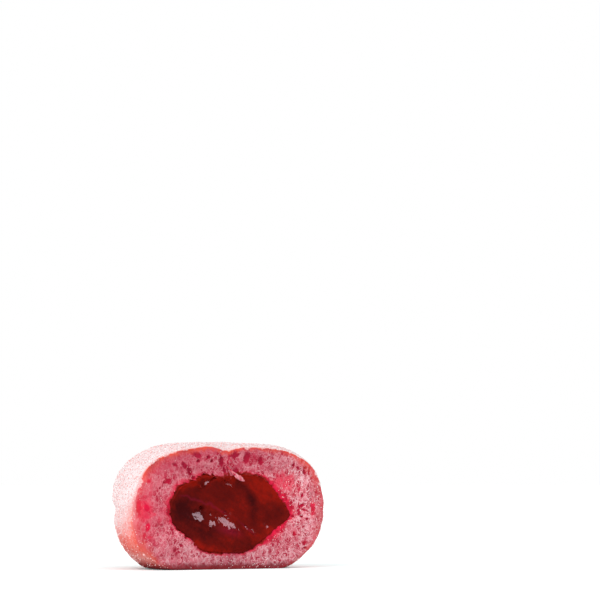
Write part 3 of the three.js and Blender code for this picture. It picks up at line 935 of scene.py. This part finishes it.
jam_angles = np.linspace(0, 2 * math.pi, JAM_AROUND + 1)
jam_across = np.stack([np.cos(jam_angles), np.zeros(JAM_AROUND + 1), np.sin(jam_angles)], -1)
jam_edge = pocket_reach(jam_angles) + UNDER_THE_CRUMB
shares = np.linspace(0, 1, JAM_FACE_RINGS + 1)[:, None]
jam_front = middle_of_pocket + jam_across * (jam_edge * shares)[..., None]
raggedness = noise_at(jam_front * (1, 1, 0.5), 0.55, 5.5)
stands_out = with_flats(jam_front[..., 0], jam_front[..., 2], raggedness)
stands_out += rough(jam_front, (0.1, 3.0, 3.3), (0.02, 1.0, 7.1))
out_to_rim = shares * jam_edge / (jam_edge - UNDER_THE_CRUMB)  # 1 at the crumb's rim
behind_rim = BEHIND_THE_RIM * smooth(0.98, 1.03, out_to_rim)
jam_front[..., 1] += behind_rim - stands_out

jam_depth = POCKET["depth"] + INTO_THE_DOUGH - BEHIND_THE_RIM
jam_back = []
for ring in range(1, JAM_BACK_RINGS + 1):
    inward = math.sin(math.pi / 2 * ring / JAM_BACK_RINGS)
    depth = along_y * (BEHIND_THE_RIM + jam_depth * inward)
    reach = jam_edge * rounded_end(inward)
    jam_back.append(middle_of_pocket + depth + jam_across * reach[:, None])

jam = wrapped_grid("piped_red_jam", JAM_AROUND, JAM_FACE_RINGS + JAM_BACK_RINGS)
place_vertices(jam, np.concatenate([jam_front, np.stack(jam_back)]))

# How dark the jam is painted: its dark places, partly thicker jam and partly painted shade, streaks that
# run down to the right, small clouds, and a thin light edge, left off where the crumb's shade falls
x, z = jam_front[..., 0], jam_front[..., 2]
off_band = x - BAND["x"] + BAND["bend"] * (z - BAND["z"]) ** 2
thick_and_shaded = 0.35 + mounds(x, z, SHADES)
thick_and_shaded += BAND["dark"] * bell(off_band, BAND["across"]) * bell(z - BAND["middle_z"], BAND["tall"])
along_streak = 0.8 * x - 0.6 * z
across_streak = 0.6 * x + 0.8 * z + 0.4 * noise_at(jam_front, 3, 6.1)
thick_and_shaded += 0.14 * noise_at(np.stack([along_streak / 4, 0 * x, across_streak], -1), 0.8, 2.7)
thin_edge = bell(1 - out_to_rim, 0.13)
for heading, half_angle, share in SHADED_EDGES:
    thin_edge *= 1 - share * bell(degrees_apart(np.degrees(jam_angles), heading), half_angle)
thick_and_shaded -= (0.35 + 0.4 * noise_at(jam_front, 1.5, 8.1)) * thin_edge
thick_and_shaded += 0.12 * noise_at(jam_front, 0.6, 4.4)
store(jam, "thick_and_shaded", np.concatenate([thick_and_shaded, np.full((JAM_BACK_RINGS, JAM_AROUND + 1), 0.4)]))

# Along the left of the upper fold, and in two streaks below it, the jam's thin film is painted magenta: a
# painted reflection of the crumb. The streaks are given by middle, half length, fall, half width and
# strength.
REFLECTION_STREAKS = [
    (-0.6, 8.82, 2.8, 0.2, 1.0, 0.55),
    (4.4, 9.4, 1.8, 0.8, 0.35, 0.5),
]
off_fold = above_fold(UPPER_FOLD, x, z) + 0.4 + 0.8 * noise_at(jam_front, 1.6, 5.9)
magenta_reflection = 0.42 * bell(off_fold, 0.3) * smooth(-14, -12, x) * smooth(0.5, -1.5, x)
for middle_x, middle_z, half_length, fall, half_width, strength in REFLECTION_STREAKS:
    off_streak = z - middle_z + fall * (x - middle_x)
    magenta_reflection += strength * bell(x - middle_x, half_length) * bell(off_streak, half_width)
store(jam, "magenta_reflection", np.concatenate([magenta_reflection, np.zeros((JAM_BACK_RINGS, JAM_AROUND + 1))]))
close_seams(jam)

# Cooked fruit jam set with pectin: dark clear red, cloudy in places, its surface wet and a little rippled
# The jam's colours run from thin jam to thick jam and painted shade
JAM_COLOURS = [(0.0, "#86150C"), (0.4, "#62110D"), (1.0, "#3A0C0D")]  # from thin to thick
jam_material, tree, stored = new_material("wet_red_fruit_jam", ("thick_and_shaded", "magenta_reflection"))
place = add_node(tree, "TexCoord").outputs["Object"]
cloud_noise = {"Vector": place, "Scale": 1 / (3 * MM), "Detail": 5.0, "Roughness": 0.6}
clouds = add_node(tree, "Math", (add_node(tree, "TexNoise", cloud_noise), 0.5), operation="SUBTRACT")
shade = add_node(tree, "Math", (stored["thick_and_shaded"], clouds), operation="ADD")
colour = add_node(tree, "ValToRGB", (shade,), JAM_COLOURS)
# Painted reflection of the crumb in the jam's thin film
colour = overlaid(tree, colour, [(stored["magenta_reflection"], 1.0, "#78142A")])
ripple = add_node(tree, "TexNoise", {"Vector": place, "Scale": 1 / (0.8 * MM), "Detail": 2.0})
bump = add_node(tree, "Bump", {"Height": ripple, "Strength": 0.4, "Distance": 0.1 * MM})
wet = {"Roughness": 0.1, "IOR": 1.42, "Specular IOR Level": 0.5, "Specular Tint": "#FFDCEF"}
finished(tree, {"Base Color": colour, "Normal": bump, **wet})
jam.data.materials.append(jam_material)
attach(jam, "root")
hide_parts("jam")


# Sugar
# Caster sugar that the warm crust was rolled in: small square crystals, some broken, lying every way. A few
# have dropped on to the cut. They are so many that each has a box's six faces.
GRAIN = np.array([(x, y, z) for x in (-0.5, 0.5) for y in (-0.5, 0.5) for z in (-0.5, 0.5)])
GRAIN_SIDES = np.array([(0, 1, 3, 2), (4, 6, 7, 5), (0, 4, 5, 1), (2, 3, 7, 6), (0, 2, 6, 4), (1, 5, 7, 3)])
GRAIN_STRETCH = (0.6, 1.15)  # the shortest and the longest side, as shares of the grain's size
GRAIN_BROKEN = 0.07  # how far its corners are out of place, in the same way
SUGAR_KINDS = [
    {"name": "sugar_coarse", "count": 6000, "size": (0.24, 0.38), "sunk": 0.08, "seed": 11},
    {"name": "sugar_fine", "count": 16500, "size": (0.14, 0.26), "sunk": 0.0, "seed": 12},
    {"name": "sugar_on_the_cut", "count": 450, "size": (0.08, 0.16), "sunk": 0.0, "seed": 13},
]
HELD_WHERE = {
    "sugar_coarse": sugar_held**2,  # it lies where most sugar is held
    "sugar_fine": sugar_held,
    "sugar_on_the_cut": dust_held,
}


def spots_on(rings, allowed, count, random):
    """Random places on a sheet of rings, as likely as each triangle's area and its allowed share.

    Gives the places, which way is outwards there, and what share is allowed there.
    """
    numbers = np.arange(allowed.size).reshape(allowed.shape)
    here, beside = numbers[:-1, :-1], numbers[:-1, 1:]
    ahead, opposite = numbers[1:, :-1], numbers[1:, 1:]
    halves = [(here, ahead, opposite), (here, opposite, beside)]
    corners = np.concatenate([np.stack(half, -1).reshape(-1, 3) for half in halves])
    points = ((rings.reshape(-1, 3) + to_frame) * MM)[corners]
    normals = np.cross(points[:, 1] - points[:, 0], points[:, 2] - points[:, 0])
    doubled_area = np.linalg.norm(normals, axis=1)
    share = allowed.reshape(-1)[corners].min(axis=1)
    weight = doubled_area * share
    chosen = random.choice(len(corners), count, p=weight / weight.sum())
    mix = random.dirichlet((1, 1, 1), count)
    places = (points[chosen] * mix[..., None]).sum(1)
    return places, normals[chosen] / doubled_area[chosen, None], share[chosen].clip(0, 1)


def random_turns(count, random):
    """Random rotation matrices, from unit quaternions."""
    q = random.normal(size=(count, 4))
    w, x, y, z = (q / np.linalg.norm(q, axis=1, keepdims=True)).T
    rows = [
        [1 - 2 * (y * y + z * z), 2 * (x * y - z * w), 2 * (x * z + y * w)],
        [2 * (x * y + z * w), 1 - 2 * (x * x + z * z), 2 * (y * z - x * w)],
        [2 * (x * z - y * w), 2 * (y * z + x * w), 1 - 2 * (x * x + y * y)],
    ]
    return np.array(rows).transpose(2, 0, 1)


def grains(name, spots, outward, held, sizes, sunk, random):
    """One mesh of small boxes, each turned its own way and sunk a little into what it lies on.

    Where little sugar is held the grains have melted more, and are pinker.
    """
    count = len(spots)
    shapes = GRAIN * random.uniform(*GRAIN_STRETCH, (count, 1, 3)) * sizes[:, None, None] * MM
    shapes += random.normal(0, GRAIN_BROKEN, shapes.shape) * sizes[:, None, None] * MM
    turned = np.einsum("gij,gvj->gvi", random_turns(count, random), shapes)
    middles = spots - outward * sizes[:, None] * MM * sunk
    vertices = (turned + middles[:, None]).reshape(-1, 3)
    faces = (GRAIN_SIDES + 8 * np.arange(count)[:, None, None]).reshape(-1, 4)
    mesh = bpy.data.meshes.new(name)
    mesh.from_pydata(vertices.tolist(), [], faces.tolist())
    piece = bpy.data.objects.new(name, mesh)
    bpy.context.scene.collection.objects.link(piece)
    store(piece, "tint", np.repeat(random.uniform(0, 1, count) * (0.3 + 0.7 * held), 8))
    return piece


# Cane sugar crystals, tinted by the crust that they stand on and by what has melted into them
SUGAR_COLOURS = [(0.0, "#E4A4A0"), (0.35, "#E3CECF"), (1.0, "#E7E1E1")]  # from most tinted to least
sugar_material, tree, stored = new_material("caster_sugar", ("tint",))
colour = add_node(tree, "ValToRGB", (stored["tint"],), SUGAR_COLOURS)
finished(tree, {"Base Color": colour, "Roughness": 0.5, "IOR": 1.5, "Specular IOR Level": 0.3})

for kind in SUGAR_KINDS:
    random = np.random.default_rng(kind["seed"])
    spots, outward, held = spots_on(surface, HELD_WHERE[kind["name"]], kind["count"], random)
    sizes = random.uniform(*kind["size"], kind["count"])
    kept = spots[:, 2] > 0.3 * MM  # none under the foot
    lying = spots[kept], outward[kept], held[kept], sizes[kept]
    piece = grains(kind["name"], *lying, kind["sunk"], random)
    piece.data.materials.append(sugar_material)
    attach(piece, "root")


# Floor and light
# A matte white board that runs out of sight under soft studio light: wide lamps high in front and at the
# left, a narrower soft box at the right, which alone the jam mirrors, and white walls. The board has a
# faint tinted glow of its own, which takes the bite's red out of its shadow.
bpy.ops.object.select_all(action="DESELECT")
bpy.ops.mesh.primitive_plane_add(size=40, location=(0, 0, 0))
floor = bpy.context.active_object
floor.name = "floor"
floor_material, tree, _ = new_material("matte_white_board")
glow = {"Emission Color": "#B0F6F6", "Emission Strength": 0.13}
finished(tree, {"Base Color": "#F9FAFA", "Roughness": 1.0, "Specular IOR Level": 0.0, **glow})
floor.data.materials.append(floor_material)
floor.visible_glossy = False
floor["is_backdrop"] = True

WALLS = 0.66  # as bright as the walls light the bite; the camera sees them plain white
world = bpy.data.worlds.new("white_studio")
bpy.context.scene.world = world
world.use_nodes = True
tree = world.node_tree
tree.nodes.clear()
seen = add_node(tree, "LightPath").outputs["Is Camera Ray"]
brightness = add_node(tree, "MapRange", {"Value": seen, "To Min": WALLS, "To Max": 1.0})
walls = add_node(tree, "Background", {"Color": "#FFFFFF", "Strength": brightness})
add_node(tree, "OutputWorld", {"Surface": walls})
world.cycles_visibility.glossy = False

LAMPS = [
    {"name": "high_front_lamp", "azimuth": 0, "elevation": 50, "width": 60, "light": 0.7},
    {"name": "wide_left_lamp", "azimuth": -70, "elevation": 25, "width": 60, "light": 1.95},
    {"name": "right_soft_box", "azimuth": 56, "elevation": 43, "width": 16, "light": 0.46},
]
MIRRORED_LAMP = "right_soft_box"
for kind in LAMPS:
    bpy.ops.object.light_add(type="SUN", location=(0, 0, 1))
    lamp = bpy.context.active_object
    lamp.name = kind["name"]
    lamp.data.energy = kind["light"]
    lamp.data.angle = math.radians(kind["width"])
    lamp.rotation_euler = (math.radians(90 - kind["elevation"]), 0, math.radians(kind["azimuth"]))
    lamp.visible_glossy = kind["name"] == MIRRORED_LAMP

bpy.context.scene.view_settings.view_transform = "Standard"
bpy.context.scene.view_settings.look = "None"

shown_low, shown_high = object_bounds()
sizes = {"cad": [list(cad_low), list(cad_high)], "shown": [list(shown_low), list(shown_high)]}
